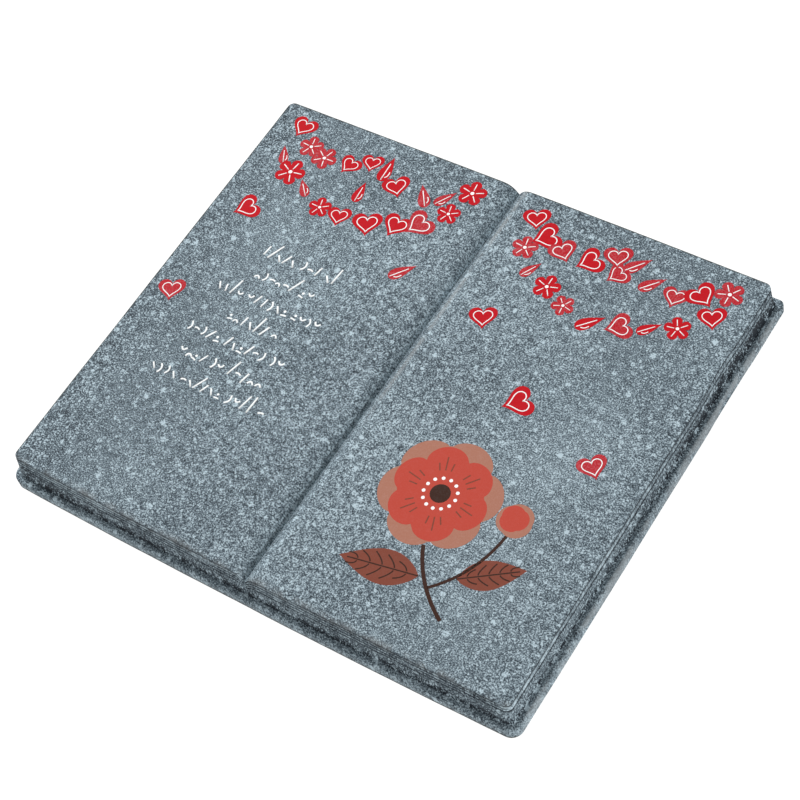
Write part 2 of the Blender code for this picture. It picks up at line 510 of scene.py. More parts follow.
CREST_ACROSS = COVER_WIDTH / 2 - COVER_TOP_EDGE_RADIUS - COVE_RADIUS - LEDGE_SIDE - WALL_LEAN_SIDE
CREST_HEAD = COVER_LENGTH / 2 - COVER_TOP_EDGE_RADIUS - COVE_RADIUS - LEDGE_HEAD - WALL_LEAN_HEAD
CREST_FOOT = COVER_TOP_EDGE_RADIUS + COVE_RADIUS + LEDGE_FOOT + WALL_LEAN_FOOT - COVER_LENGTH / 2
CREST_BAND = PAGE_TOP - 0.0026, PAGE_TOP - 0.0012
PAGE_EDGE_FADE = 0.0, 0.0004
CREST_RUB_REACH = 0.0028
RUB_AND_PAINTED_LIGHT_PATCH = 0.007
CREST_RUB_BOUNDS = 0.35, 0.65
CREST_RUB_COVER = 0.5
CREST_RUB_COLOUR = (0.145, 0.146, 0.142, 1.0)
# Patches of painted light on the sides of the cover board, for the light that the pale floor throws up on
# them; none near the head.
RIM_LIGHT_WIDTH = 0.0013
RIM_LIGHT_TOP = COVER_THICKNESS - 0.0002, COVER_THICKNESS + 0.0002
RIM_LIGHT_BOUNDS = 0.3, 0.6
RIM_LIGHT_COVER = 0.62
RIM_LIGHT_COLOUR = (0.250, 0.276, 0.290, 1.0)
RIM_LIGHT_ENDS = 0.003, 0.011
# Painted contact shadow: a dark line along the bottom of the cover at the foot.
BOTTOM_EDGE_BAND = 0.0007, 0.0016
BOTTOM_EDGE_ENDS = COVER_LENGTH / 2 - 0.004, COVER_LENGTH / 2 - 0.002
BOTTOM_SHADOW_COVER = 0.85
BACK_EDGE_FADE = -0.0003, 0.0001
BACK_EDGE_COVER = 0.85
BACK_EDGE_COLOUR = (0.045, 0.052, 0.047, 1.0)
# Painted highlight on the gutter's right shoulder, which faces the lamp, and painted light down by the spine,
# which lifts the shade in the gutter.
SHOULDER_PLACE = 0.0035
SHOULDER_REACH = 0.0024
SHOULDER_HIGHLIGHT_GAIN = 0.13
SPINE_PLACE = -0.0004
SPINE_REACH = 0.0022
SPINE_PAINTED_LIGHT = 0.048
SPINE_LIGHT_GAIN = 0.40
# Painted shade in the seam at the bottom of the gutter, weaker over one stretch towards the head, and a softer
# painted shadow beside it on the right.
SEAM_PLACE = -0.00068
SEAM_BEND = 0.0009
SEAM_BEND_ENDS = 0.015, 0.055
SEAM_REACH = 0.0004
SEAM_FADE = 0.5, 1.2
SEAM_PAINTED_SHADE = 0.62
SEAM_EASED_PLACE = 0.018
SEAM_EASED_REACH = 0.024
SEAM_EASED_FADE = 0.6, 1.2
SEAM_SHADE_EASED = 0.6
SEAM_SHADE_ENDS = 0.0004, 0.0025
SEAM_SHADE = 0.42
# Patches of painted highlight on the gutter's right slope, which faces the lamp.
SLOPE_START = 0.0022, 0.0030
SLOPE_END = 0.0036, 0.0050
SLOPE_HIGHLIGHT_BOUNDS = 0.30, 0.55
SLOPE_HIGHLIGHT_COVER = 0.48
SLOPE_HIGHLIGHT_ENDS = -0.028, 0.004
SLOPE_HIGHLIGHT_COLOUR = (0.262, 0.275, 0.278, 1.0)
# Painted shade towards the left edge and the head of the pages, where the lamps light them less.
LEFT_SHADE = 0.20
LEFT_SHADE_ENDS = 0.060, 0.100
HEAD_SHADE = 0.10
HEAD_SHADE_ENDS = 0.045, 0.090


def stone_finish():
    """The speckled stone of the casting, with its rubbed patches and its dark places, and light and shade
    painted on it.

    It is rubbed in patches at the foot of the pages. Painted light lies on the cover's rim, in patches on its
    sides, near the tops of the walls and by the spine, and painted highlight on the gutter's right shoulder
    and slope.
    Painted shade darkens the cove and the lower walls, the left edge and the head of the pages, the seam and
    the lines in the walls, and a painted shadow runs along the bottom of the foot. The far edges of the pages
    are dark.
    """
    material, bench = new_finish("speckled_stone")
    place = bench.node("ShaderNodeTexCoord", {}, {}, "Object")
    outputs = bench.node("ShaderNodeSeparateXYZ", {}, {0: place}).socket.node.outputs
    x, y, z = (Reading(bench, socket) for socket in outputs)
    sheltered = bench.node("ShaderNodeAttribute", {"attribute_name": "sheltered"}, {}, "Fac")
    on_shoulder = 1 - (abs(x - SHOULDER_PLACE) / SHOULDER_REACH).between(0.0, 1.0)
    at_spine = 1 - (abs(x - SPINE_PLACE) / SPINE_REACH).between(0.0, 1.0)
    # Painted shade along the seam, eased over one stretch, and a painted shadow beside it on the right.
    from_seam = x - SEAM_PLACE - SEAM_BEND * y.between(*SEAM_BEND_ENDS)
    eased = 1 - (abs(y - SEAM_EASED_PLACE) / SEAM_EASED_REACH).between(*SEAM_EASED_FADE)
    on_seam = (1 - (abs(from_seam) / SEAM_REACH).between(*SEAM_FADE)) * (1 - SEAM_SHADE_EASED * eased)
    by_seam = from_seam.between(0.0, SEAM_REACH) * (1 - x.between(*SEAM_SHADE_ENDS)) * (1 - on_seam)
    on_slope = x.between(*SLOPE_START) * (1 - x.between(*SLOPE_END))
    on_page = (y - CREST_FOOT).between(*PAGE_EDGE_FADE) * (CREST_HEAD - y).between(*PAGE_EDGE_FADE)
    shaded = SEAM_PAINTED_SHADE * on_seam + SEAM_SHADE * by_seam
    # lit scales the colour of the pages: painted light by the spine and on the shoulder, painted shade in and
    # beside the seam.
    lit = 1 + on_page * (SPINE_LIGHT_GAIN * at_spine + SHOULDER_HIGHLIGHT_GAIN * on_shoulder - shaded)
    # Painted shade added towards the left edge and the head of the pages.
    at_left, at_head = (0 - x).between(*LEFT_SHADE_ENDS), y.between(*HEAD_SHADE_ENDS)
    sheltered = sheltered + LEFT_SHADE * at_left + HEAD_SHADE * at_head
    colour, grain = stone_colour(bench, sheltered, SPINE_PAINTED_LIGHT * on_page * at_spine, on_page * at_spine)
    colour = bench.node("ShaderNodeVectorMath", {"operation": "SCALE"}, {0: colour, "Scale": lit})
    # Painted highlight in patches on the gutter's right slope.
    slope_highlight = on_page * on_slope * bench.noise(place, RUB_AND_PAINTED_LIGHT_PATCH).between(*SLOPE_HIGHLIGHT_BOUNDS)
    slope_highlight = slope_highlight * y.between(*SLOPE_HIGHLIGHT_ENDS)
    colour = bench.colour_mix(SLOPE_HIGHLIGHT_COVER * slope_highlight, colour, SLOPE_HIGHLIGHT_COLOUR)
    foot = CREST_FOOT + FOOT_BOW * (abs(x) / (COVER_WIDTH / 2)) ** 2
    near_crest = (foot - y).between(-CREST_RUB_REACH, 0.0) * z.between(*CREST_BAND)
    rubbed = near_crest * bench.noise(place, RUB_AND_PAINTED_LIGHT_PATCH).between(*CREST_RUB_BOUNDS)
    colour = bench.colour_mix(CREST_RUB_COVER * rubbed, colour, CREST_RUB_COLOUR)
    # Painted light in patches on the sides of the cover board.
    on_rim = (abs(x) - (COVER_WIDTH / 2 - RIM_LIGHT_WIDTH)).between(0.0, RIM_LIGHT_WIDTH / 2)
    on_rim = on_rim * z.between(0.0, RIM_LIGHT_WIDTH) * (1 - z.between(*RIM_LIGHT_TOP))
    rim_painted_light = on_rim * bench.noise(place, RUB_AND_PAINTED_LIGHT_PATCH).between(*RIM_LIGHT_BOUNDS)
    rim_painted_light = rim_painted_light * (COVER_LENGTH / 2 - y).between(*RIM_LIGHT_ENDS)
    colour = bench.colour_mix(RIM_LIGHT_COVER * rim_painted_light, colour, RIM_LIGHT_COLOUR)
    at_back = (0 - x - CREST_ACROSS).math("MAXIMUM", y - CREST_HEAD)
    at_back = (at_back + PAGE_TOP_EDGE_RADIUS).between(*BACK_EDGE_FADE) * z.between(*CREST_BAND)
    colour = bench.colour_mix(BACK_EDGE_COVER * at_back, colour, BACK_EDGE_COLOUR)
    # Painted contact shadow along the bottom of the cover at the foot, in the dark colour of the far edges.
    bottom_painted_shadow = (1 - z.between(*BOTTOM_EDGE_BAND)) * (0 - y).between(*BOTTOM_EDGE_ENDS)
    colour = bench.colour_mix(BOTTOM_SHADOW_COVER * bottom_painted_shadow, colour, BACK_EDGE_COLOUR)
    # Painted shade in the page lines: the grooves are coloured nearly black.
    scored = bench.node("ShaderNodeAttribute", {"attribute_name": "scored"}, {}, "Fac")
    colour = bench.colour_mix(scored, colour, GRAIN_DEEP)
    shade(bench, colour, STONE_ROUGHNESS - STONE_SMOOTHER * grain, STONE_GLOSS, grain, STONE_RELIEF)
    return material


LINE_PITCH = 0.00148
LINE_FIRST = 0.28
LINE_WIDTH = 0.00100
LINE_DEPTH = 0.00032
LINE_WANDER = 0.0003
LINE_WANDER_LENGTH = 0.030
LINE_WANDER_ROWS = 4
LINE_EDGE = 0.45, 1.0
LINE_BREAK_LENGTH = 0.016
LINE_BREAK_ROWS = 0.037
LINE_BREAK_ENDS = 0.30, 0.42
LINED_HEIGHT = 0.0058
LINED_FADE = 0.85, 1.15
STRATA_STRETCH = 0.02
STRATA_SIZE = 0.0008
STRATA_DEPTH = 0.45
WALL_START = 0.0001
SIDE_BAND = CREST_ACROSS - 0.0012, CREST_ACROSS - 0.0002
SIDE_LINE_WIDENS = 1.1
SIDE_LINE_LASTS = 0.10
EDGE_WAVER = 0.00012
WAVER_LENGTH = 0.022
WAVER_BOUNDS = 0.3, 0.75
DENT_PLACE = 0.049
DENT_REACH = 0.016
DENT_DEPTH = 0.0007
DENT_BAND = CREST_ACROSS - 0.001, CREST_ACROSS


def page_line_tree():
    """Cuts the page lines into the walls, and lets the edges waver as they do out of a soft mould."""
    bench = ShapeBench(
        "page lines",
        Pitch="Float",
        Width="Float",
        Depth="Float",
        Wander="Float",
        Lined="Float",
        Waver="Float",
        Dent="Float",
    )
    pitch, width, depth = bench.input("Pitch"), bench.input("Width"), bench.input("Depth")
    drop, around = bench.marked("drop"), bench.marked("around")

    def along(size, row, seed):
        return bench.noise(bench.vector(around, row, seed), size, 1.5) - 0.5

    wandered = drop + bench.input("Wander") * 2 * along(LINE_WANDER_LENGTH, drop * LINE_WANDER_ROWS, 0.1)
    line = (wandered / pitch).math("FLOOR")
    from_line = abs(wandered / pitch - line - LINE_FIRST) * pitch
    x, y, _ = bench.place()
    on_side = abs(x).between(*SIDE_BAND)
    groove = 1 - (from_line / (width / 2 * (1 + SIDE_LINE_WIDENS * on_side))).between(*LINE_EDGE)
    lasting = along(LINE_BREAK_LENGTH, line * LINE_BREAK_ROWS, 0.2) + 0.5 + SIDE_LINE_LASTS * on_side
    lasting = lasting.between(*LINE_BREAK_ENDS) * (1 - on_side * line.math("MODULO", 2))
    strata = bench.noise(bench.vector(around * STRATA_STRETCH, 0.0, drop), STRATA_SIZE, 2.0) - 0.5
    lined = 1 - (drop / bench.input("Lined")).between(*LINED_FADE)
    on_wall = drop.math("GREATER_THAN", WALL_START)
    scored = on_wall * lined * groove * lasting
    cut = depth * (scored + STRATA_DEPTH * on_wall * lined * strata)
    waver = bench.input("Waver") * (along(WAVER_LENGTH, 0.0, 0.3) + 0.5).between(*WAVER_BOUNDS)
    in_dent = 1 - abs((y - DENT_PLACE) / DENT_REACH).between(0.0, 1.0)
    waver = waver + bench.input("Dent") * in_dent * x.between(*DENT_BAND)
    normal = bench.node("GeometryNodeInputNormal")
    level = bench.node("ShaderNodeVectorMath", {"operation": "MULTIPLY"}, {0: normal, 1: (1.0, 1.0, 0.0)})
    moved = {0: level, "Scale": 0 - cut - waver}
    inwards = bench.node("ShaderNodeVectorMath", {"operation": "SCALE"}, moved)
    # The groove mask is stored as scored, which the stone's finish paints dark as shade in the grooves.
    shaded = bench.mark(bench.input("Geometry"), "scored", scored)
    walled = bench.node("GeometryNodeSetPosition", {}, {"Geometry": shaded, "Offset": inwards})
    bench.close(walled, (stone_finish(), True))
    return bench


casting = page_line_tree().run(
    "open_book_casting",
    lofted_casting(),
    Pitch=LINE_PITCH,
    Width=LINE_WIDTH,
    Depth=LINE_DEPTH,
    Wander=LINE_WANDER,
    Lined=LINED_HEIGHT,
    Waver=EDGE_WAVER,
    Dent=DENT_DEPTH,
)
casting.data.shade_smooth()
casting.data.set_sharp_from_angle(angle=math.radians(50))
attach(casting, "root")
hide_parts("open_book_plaque")

# The garlands
# Hearts, blossoms and drops in two reds with fine white lines, in swags across the head of both pages, and a
# few that have come loose below. They are printed on the cast stone, as a film of ink.

FILM_BED = 0.00001
FILM_LIFT = 0.00003
FILM_STEP = 0.000006
FESTOON_POSTS = 0.0135, 0.0495, 0.0855
FESTOON_HEIGHT = 0.0765
FESTOON_SAG = 0.0095
SWAG_ENDS = 0.0150, 0.0850
SWAG_HEIGHT = 0.0640
SWAG_SAG = 0.0165
PENDANT_LENGTH = 0.0170
GARLAND_SPACING = 0.0092
GARLAND_STRAY = 0.0011
LOOSE_SPACING = 0.034
LOOSE_STRAY = 0.006
LOOSE_TRAILS = (
    ((0.020, 0.036), (0.052, 0.006), (0.084, -0.004)),
    ((-0.084, 0.040), (-0.088, -0.004)),
    ((-0.022, 0.036), (-0.012, 0.004)),
)
MOTIF_FROM_SPINE = 0.0125
MOTIF_REACH_ACROSS = 0.0765
MOTIF_HIGHEST = 0.0768
MOTIF_HALF_SIZES = 0.0040, 0.0058
MOTIF_TURN = 1.1
FAINT_SHARE = 0.4
HEART_CORNERS = 44
BLOSSOM_CORNERS = 60
DROP_CORNERS = 28
PETALS = 5
WHITE_LINE = 0.066
HEART_LINE_PLACE = 0.66
BLOSSOM_EYE = 0.13

INK_RED = (0.44, 0.0035, 0.009, 1.0)
INK_WHITE = (0.86, 0.88, 0.88, 1.0)
INK_ROUGHNESS = 0.6
INK_GLOSS = 0.06
INK_ROUGHER = 0.1
INK_RELIEF = 0.00002


def ink_finish(name, colour, cover):
    """Ink over the stone. The speckle shows through by what the ink doesn't cover."""
    material, bench = new_finish(name)
    stone, grain = stone_colour(bench)
    inked = bench.colour_mix(cover, stone, colour)
    shade(bench, inked, INK_ROUGHNESS + INK_ROUGHER * grain, INK_GLOSS, grain, INK_RELIEF)
    return material


red_ink = ink_finish("red_ink", INK_RED, 0.985)
faint_red_ink = ink_finish("faint_red_ink", INK_RED, 0.87)
white_ink = ink_finish("white_ink", INK_WHITE, 0.97)


class PrintBench(ShapeBench):
    """Flat shapes, drawn about the middle of the sheet, that become films of ink on the pages."""

    def turn_of(self, corners):
        return self.node("GeometryNodeInputIndex") * (2 * math.pi / corners)

    def ring(self, corners, filled):
        settings = {"fill_type": "NGON" if filled else "NONE"}
        return self.node("GeometryNodeMeshCircle", settings, {"Vertices": corners, "Radius": 1.0})

    def shaped(self, corners, rule, filled=True):
        """A filled or an open outline of that many corners, each where the rule puts its angle."""
        return self.put(self.ring(corners, filled), self.vector(*rule(self, self.turn_of(corners))))

    def stroke(self, curve, width):
        across = {"Start": (-width / 2, 0, 0), "End": (width / 2, 0, 0)}
        profile = self.node("GeometryNodeCurvePrimitiveLine", {}, across)
        return self.node("GeometryNodeCurveToMesh", {}, {"Curve": curve, "Profile Curve": profile})

    def bow(self, start, middle, end, steps=8):
        sockets = {"Resolution": steps, "Start": start, "Middle": middle, "End": end}
        return self.node("GeometryNodeCurveQuadraticBezier", {}, sockets)

    def scaled(self, shape, factor):
        sockets = {"Geometry": shape, "Scale": (factor, factor, 1.0)}
        return self.node("GeometryNodeTransform", {}, sockets)

    def joined(self, *shapes):
        return self.node("GeometryNodeJoinGeometry", {}, {"Geometry": list(shapes)})

    def white(self, *shapes):
        return self.mark(self.joined(*shapes), "white", 1.0)

    def choice(self, *shapes):
        return self.node("GeometryNodeGeometryToInstance", {}, {"Geometry": list(shapes)})

    def scattered(self, points, shapes, low_size, high_size, turn):
        """A random one of the shapes at each point, with its own size, turn and place in the stack."""
        sockets = {
            "Points": points,
            "Instance": self.choice(*shapes),
            "Pick Instance": True,
            "Instance Index": self.random(0.0, len(shapes) - 0.001, 3).math("FLOOR"),
            "Rotation": self.vector(0.0, 0.0, self.random(-turn, turn, 4)),
            "Scale": self.random(low_size, high_size, 5),
        }
        placed = self.node("GeometryNodeInstanceOnPoints", {}, sockets)
        placed = self.mark(placed, "faint", self.random(0.0, 1.0, 6), "INSTANCE")
        stack = self.node("GeometryNodeInputIndex").math("MODULO", 6) * 2 * FILM_STEP
        placed = self.mark(placed, "stack", stack, "INSTANCE")
        return self.node("GeometryNodeRealizeInstances", {}, {"Geometry": placed})

    def film(self, flat):
        """Lays flat shapes on the pages and gives them their thickness, closed below."""
        x, y, _ = self.place()
        bed = self.put(flat, self.vector(x, y, page_height(x) - FILM_BED))
        height = FILM_BED + FILM_LIFT + self.marked("stack") + self.marked("white") * FILM_STEP
        upwards = self.vector(0.0, 0.0, 1.0)
        sockets = {"Mesh": bed, "Offset": upwards, "Offset Scale": height, "Individual": False}
        raised = self.node("GeometryNodeExtrudeMesh", {}, sockets)
        under = self.node("GeometryNodeFlipFaces", {}, {"Mesh": bed})
        sockets = {"Geometry": self.joined(raised, under), "Distance": FILM_BED / 10}
        return self.node("GeometryNodeMergeByDistance", {}, sockets)


def heart(bench, turn):
    waves = [(turn * times).math("COSINE") for times in (1, 2, 3, 4)]
    upwards = 13 * waves[0] - 5 * waves[1] - 2 * waves[2] - waves[3]
    return turn.math("SINE") ** 3, upwards / 16 + 0.1


def blossom(bench, turn):
    reach = 0.55 + 0.45 * abs((turn * (PETALS / 2)).math("SINE")) ** 0.5
    return turn.math("COSINE") * reach, turn.math("SINE") * reach


def drop_shape(bench, turn):
    waist = abs((turn / 2).math("SINE")) ** 1.6
    return turn.math("SINE") * waist * 0.62, turn.math("COSINE")


def heart_motif(bench):
    inner = bench.shaped(HEART_CORNERS, heart, filled=False)
    inner = bench.scaled(inner, HEART_LINE_PLACE)
    inner = bench.node("GeometryNodeMeshToCurve", {}, {"Mesh": inner})
    return bench.joined(bench.shaped(HEART_CORNERS, heart), bench.white(bench.stroke(inner, WHITE_LINE)))


def blossom_motif(bench):
    ribs = []
    for petal in range(PETALS):
        angle = 2 * math.pi * (petal + 0.5) / PETALS
        start = (0.24 * math.cos(angle), 0.24 * math.sin(angle), 0.0)
        end = (0.78 * math.cos(angle), 0.78 * math.sin(angle), 0.0)
        rib = bench.node("GeometryNodeCurvePrimitiveLine", {}, {"Start": start, "End": end})
        ribs.append(bench.stroke(rib, WHITE_LINE))
    eye = bench.scaled(bench.ring(14, True), BLOSSOM_EYE)
    return bench.joined(bench.shaped(BLOSSOM_CORNERS, blossom), bench.white(*ribs, eye))


def drop_motif(bench):
    middle = bench.node("GeometryNodeCurvePrimitiveLine", {}, {"Start": (0, -0.9, 0), "End": (0, 0.45, 0)})
    glint = bench.bow((0.14, -0.66, 0.0), (0.36, -0.52, 0.0), (0.27, -0.16, 0.0))
    lines = bench.white(bench.stroke(middle, WHITE_LINE), bench.stroke(glint, WHITE_LINE))
    return bench.joined(bench.shaped(DROP_CORNERS, drop_shape), lines)


def garland_tree():
    """Sets the motifs along the lines of its mesh, each a little off the line."""
    bench = PrintBench("garland", Spacing="Float", Stray="Float")
    path = bench.node("GeometryNodeMeshToCurve", {}, {"Mesh": bench.input("Geometry")})
    sockets = {"Curve": path, "Length": bench.input("Spacing")}
    points = bench.node("GeometryNodeCurveToPoints", {"mode": "LENGTH"}, sockets)
    stray = bench.input("Stray")
    offset = bench.vector(bench.random(-1.0, 1.0, 1) * stray, bench.random(-1.0, 1.0, 2) * stray, 0.0)
    points = bench.node("GeometryNodeSetPosition", {}, {"Geometry": points, "Offset": offset})
    x, y, _ = bench.place()
    across = abs(x).math("MAXIMUM", MOTIF_FROM_SPINE).math("MINIMUM", MOTIF_FROM_SPINE + MOTIF_REACH_ACROSS)
    points = bench.put(points, bench.vector(across * x.math("SIGN"), y.math("MINIMUM", MOTIF_HIGHEST), 0.0))
    motifs = (heart_motif(bench), blossom_motif(bench), drop_motif(bench))
    flat = bench.scattered(points, motifs, *MOTIF_HALF_SIZES, MOTIF_TURN)
    faint = bench.marked("faint").math("LESS_THAN", FAINT_SHARE)
    white = bench.marked("white").math("GREATER_THAN", 0.5)
    bench.close(bench.film(flat), (red_ink, True), (faint_red_ink, faint), (white_ink, white))
    return bench


def lines_mesh(lines):
    """A mesh of open lines, each a list of (x, y)."""
    points, edges = [], []
    for line in lines:
        edges += [(len(points) + i, len(points) + i + 1) for i in range(len(line) - 1)]
        points += [(x, y, 0.0) for x, y in line]
    mesh = bpy.data.meshes.new("lines")
    mesh.from_pydata(points, edges, [])
    return mesh


def hanging_line(start, end, height, sag, steps=24):
    """A curve that hangs between two places across the page."""
    shares = [i / steps for i in range(steps + 1)]
    return [(start + (end - start) * share, height - sag * 4 * share * (1 - share)) for share in shares]


def garland_lines():
    """On each page two short festoons with a pendant between them, and one long swag below."""
    first, second = (
        hanging_line(start, end, FESTOON_HEIGHT, FESTOON_SAG)
        for start, end in zip(FESTOON_POSTS, FESTOON_POSTS[1:])
    )
    lines = [first + second[1:], hanging_line(*SWAG_ENDS, SWAG_HEIGHT, SWAG_SAG)]
    pendant = FESTOON_POSTS[1]
    lines.append([(pendant, FESTOON_HEIGHT - GARLAND_SPACING), (pendant, FESTOON_HEIGHT - PENDANT_LENGTH)])
    return lines + [[(-x, y) for x, y in reversed(line)] for line in lines]


garlands = garland_tree()
for name, lines, spacing, stray in (
    ("garland_print", garland_lines(), GARLAND_SPACING, GARLAND_STRAY),
    ("loose_petals_print", LOOSE_TRAILS, LOOSE_SPACING, LOOSE_STRAY),
):
    printed = garlands.run(name, lines_mesh(lines), Spacing=spacing, Stray=stray)
    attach(printed, "root")

# The bloom
# One large flower with a bud and two leaves, printed low on the right page in brick red, tan and browns,
# with fine dark lines and small white dots. It is the same film of ink as the garlands.

BLOOM_MIDDLE = 0.0405, -0.0310
BLOOM_TURN = 0.35
BLOOM_PETALS = 6
FAN_START = 0.0085
BACK_PETAL_REACH = 0.0205
FRONT_PETAL_REACH = 0.0172
EYE_RADIUS = 0.0034
DOT_RING = 0.0056
DOT_RADIUS = 0.00062
DOT_COUNT = 13
STEM_WIDTH = 0.0013
VEIN_WIDTH = 0.00045
STEM = (0.0455, -0.0490), (0.0510, -0.0610), (0.0640, -0.0690)
BUD_STEM = (0.0545, -0.0612), (0.0660, -0.0500), (0.0672, -0.0330)
BUD_REACH = 0.0062
LEAVES = (
    ((0.0500, -0.0590), (0.0235, -0.0640), 0.0062),
    ((0.0610, -0.0545), (0.0790, -0.0420), 0.0052),
)
VEINS = 5
LEAF_STEPS = 16
LEAF_SWELL = 0.8
BRICK, TAN, BROWN, DARK, WHITE = range(5)

INK_BRICK = (0.44, 0.058, 0.038, 1.0)
INK_TAN = (0.36, 0.155, 0.105, 1.0)
INK_BROWN = (0.190, 0.052, 0.032, 1.0)
INK_DARK = (0.040, 0.016, 0.010, 1.0)

brick_ink = ink_finish("brick_ink", INK_BRICK, 0.98)
tan_ink = ink_finish("tan_ink", INK_TAN, 0.96)
brown_ink = ink_finish("brown_ink", INK_BROWN, 0.98)
dark_ink = ink_finish("dark_ink", INK_DARK, 0.98)


class Drawing:
    """Flat shapes gathered in layers, each with its ink."""

    def __init__(self):
        self.points, self.faces, self.inks, self.layers = [], [], [], []

    def shape(self, ink, layer, outline_points):
        first = len(self.points)
        self.points += [(x, y, 0.0) for x, y in outline_points]
        self.layers += [float(layer)] * len(outline_points)
        self.faces.append(list(range(first, len(self.points))))
        self.inks.append(ink)

    def stroke(self, ink, layer, line, width):
        """A band of even width along a line of points, cut square at its ends."""
        left, right = [], []
        for i, (x, y) in enumerate(line):
            (x0, y0), (x1, y1) = line[max(i - 1, 0)], line[min(i + 1, len(line) - 1)]
            length = math.hypot(x1 - x0, y1 - y0)
            across = -(y1 - y0) / length * width / 2, (x1 - x0) / length * width / 2
            left.append((x + across[0], y + across[1]))
            right.append((x - across[0], y - across[1]))
        self.shape(ink, layer, right + left[::-1])

    def mesh(self, name):
        made = bpy.data.meshes.new(name)
        made.from_pydata(self.points, [], self.faces)
        made.attributes.new("ink", "INT", "FACE").data.foreach_set("value", self.inks)
        made.attributes.new("layer", "FLOAT", "POINT").data.foreach_set("value", self.layers)
        return made


def out_from(middle, reach, angle):
    return middle[0] + reach * math.cos(angle), middle[1] + reach * math.sin(angle)


def round_shape(middle, reach, corners):
    return [out_from(middle, reach, 2 * math.pi * i / corners) for i in range(corners)]


def petalled_shape(middle, reach, petals, turn, notch, corners=100):
    """A round flower outline in one piece: its edge comes in to a notch between the petals."""
    outline_points = []
    for i in range(corners):
        a = 2 * math.pi * i / corners
        r = reach * (1 - notch + notch * abs(math.sin(petals / 2 * (a - turn))) ** 0.55)
        outline_points.append(out_from(middle, r, a))
    return outline_points


def bent_line(start, middle, end, steps=16):
    line = []
    for i in range(steps + 1):
        t = i / steps
        weights = (1 - t) ** 2, 2 * t * (1 - t), t**2
        line.append(tuple(sum(w * p[k] for w, p in zip(weights, (start, middle, end))) for k in (0, 1)))
    return line


def leaf(drawing, base, tip, half_width):
    along = Vector(tip) - Vector(base)
    across = along.orthogonal().normalized() * half_width
    shares = [i / LEAF_STEPS for i in range(LEAF_STEPS + 1)]
    rise = [math.sin(math.pi * share**LEAF_SWELL) for share in shares]
    upper = [Vector(base) + along * share + across * up for share, up in zip(shares, rise)]
    lower = [Vector(base) + along * share - across * up for share, up in zip(shares, rise)]
    drawing.shape(BROWN, 0, [tuple(p) for p in upper + lower[-2:0:-1]])
    drawing.stroke(DARK, 1, [tuple(base), tuple(Vector(base) + along * 0.9)], VEIN_WIDTH)
    for vein in range(1, VEINS + 1):
        root = Vector(base) + along * (vein / (VEINS + 1.5))
        for side in (-1, 1):
            swell = math.sin(math.pi * (vein / (VEINS + 1)) ** LEAF_SWELL)
            end = root + along * 0.13 + across * side * 0.72 * swell
            bend = root + along * 0.02 + across * side * 0.35
            start = root + across * side * VEIN_WIDTH / half_width
            drawing.stroke(DARK, 1, bent_line(start, bend, end, 5), VEIN_WIDTH)


def bloom_drawing():
    drawing = Drawing()
    drawing.stroke(DARK, 0, bent_line(*STEM), STEM_WIDTH)
    drawing.stroke(DARK, 0, bent_line(*BUD_STEM), STEM_WIDTH * 0.8)
    back_turn = BLOOM_TURN + math.pi / BLOOM_PETALS
    back_petals = petalled_shape(BLOOM_MIDDLE, BACK_PETAL_REACH, BLOOM_PETALS, back_turn, 0.2)
    drawing.shape(TAN, 1, back_petals)
    front_petals = petalled_shape(BLOOM_MIDDLE, FRONT_PETAL_REACH, BLOOM_PETALS, BLOOM_TURN, 0.24)
    drawing.shape(BRICK, 2, front_petals)
    for petal in range(BLOOM_PETALS):
        for fan in (-0.22, 0.0, 0.22):
            a = BLOOM_TURN + 2 * math.pi * (petal + 0.5) / BLOOM_PETALS + fan
            reach = FRONT_PETAL_REACH * (0.78 if fan == 0.0 else 0.66)
            ends = [out_from(BLOOM_MIDDLE, r, a) for r in (FAN_START, reach)]
            drawing.stroke(BROWN, 3, ends, VEIN_WIDTH)
    drawing.shape(DARK, 3, round_shape(BLOOM_MIDDLE, EYE_RADIUS, 28))
    for dot in range(DOT_COUNT):
        middle = out_from(BLOOM_MIDDLE, DOT_RING, 2 * math.pi * dot / DOT_COUNT)
        drawing.shape(WHITE, 3, round_shape(middle, DOT_RADIUS, 12))
    bud = BUD_STEM[2][0] - 0.0004, BUD_STEM[2][1] + BUD_REACH * 0.7
    drawing.shape(TAN, 1, petalled_shape(bud, BUD_REACH, 3, 0.2, 0.12, 48))
    bud_front = bud[0] - 0.0006, bud[1] + 0.0004
    drawing.shape(BRICK, 2, petalled_shape(bud_front, BUD_REACH * 0.78, 3, 1.2, 0.16, 48))
    for base, tip, half_width in LEAVES:
        leaf(drawing, base, tip, half_width)
    return drawing.mesh("bloom")


def bloom_tree():
    """Makes films of a drawing: its layers lie on each other, and each face takes its own ink."""
    bench = PrintBench("printed drawing", Layer_step="Float")
    stack = bench.marked("layer") * bench.input("Layer step")
    stacked = bench.mark(bench.input("Geometry"), "stack", stack)
    ink = bench.node("GeometryNodeInputNamedAttribute", {"data_type": "INT"}, {"Name": "ink"})
    inks = (brick_ink, tan_ink, brown_ink, dark_ink, white_ink)
    picks = [(each, abs(ink - number).math("LESS_THAN", 0.5)) for number, each in enumerate(inks)]
    pieces = bench.node("GeometryNodeTriangulate", {}, {"Mesh": stacked})
    pieces = bench.node("GeometryNodeSubdivideMesh", {}, {"Mesh": pieces, "Level": 1})
    bench.close(bench.film(pieces), *picks)
    return bench


bloom = bloom_tree().run("bloom_print", bloom_drawing(), Layer_step=2 * FILM_STEP)
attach(bloom, "root")

# The inscription
# Seven centred rows of white strokes on the left page, as a verse would stand there. They are ticks, bows
# and waves that are no letters, in the same white ink as the lines of the garlands.

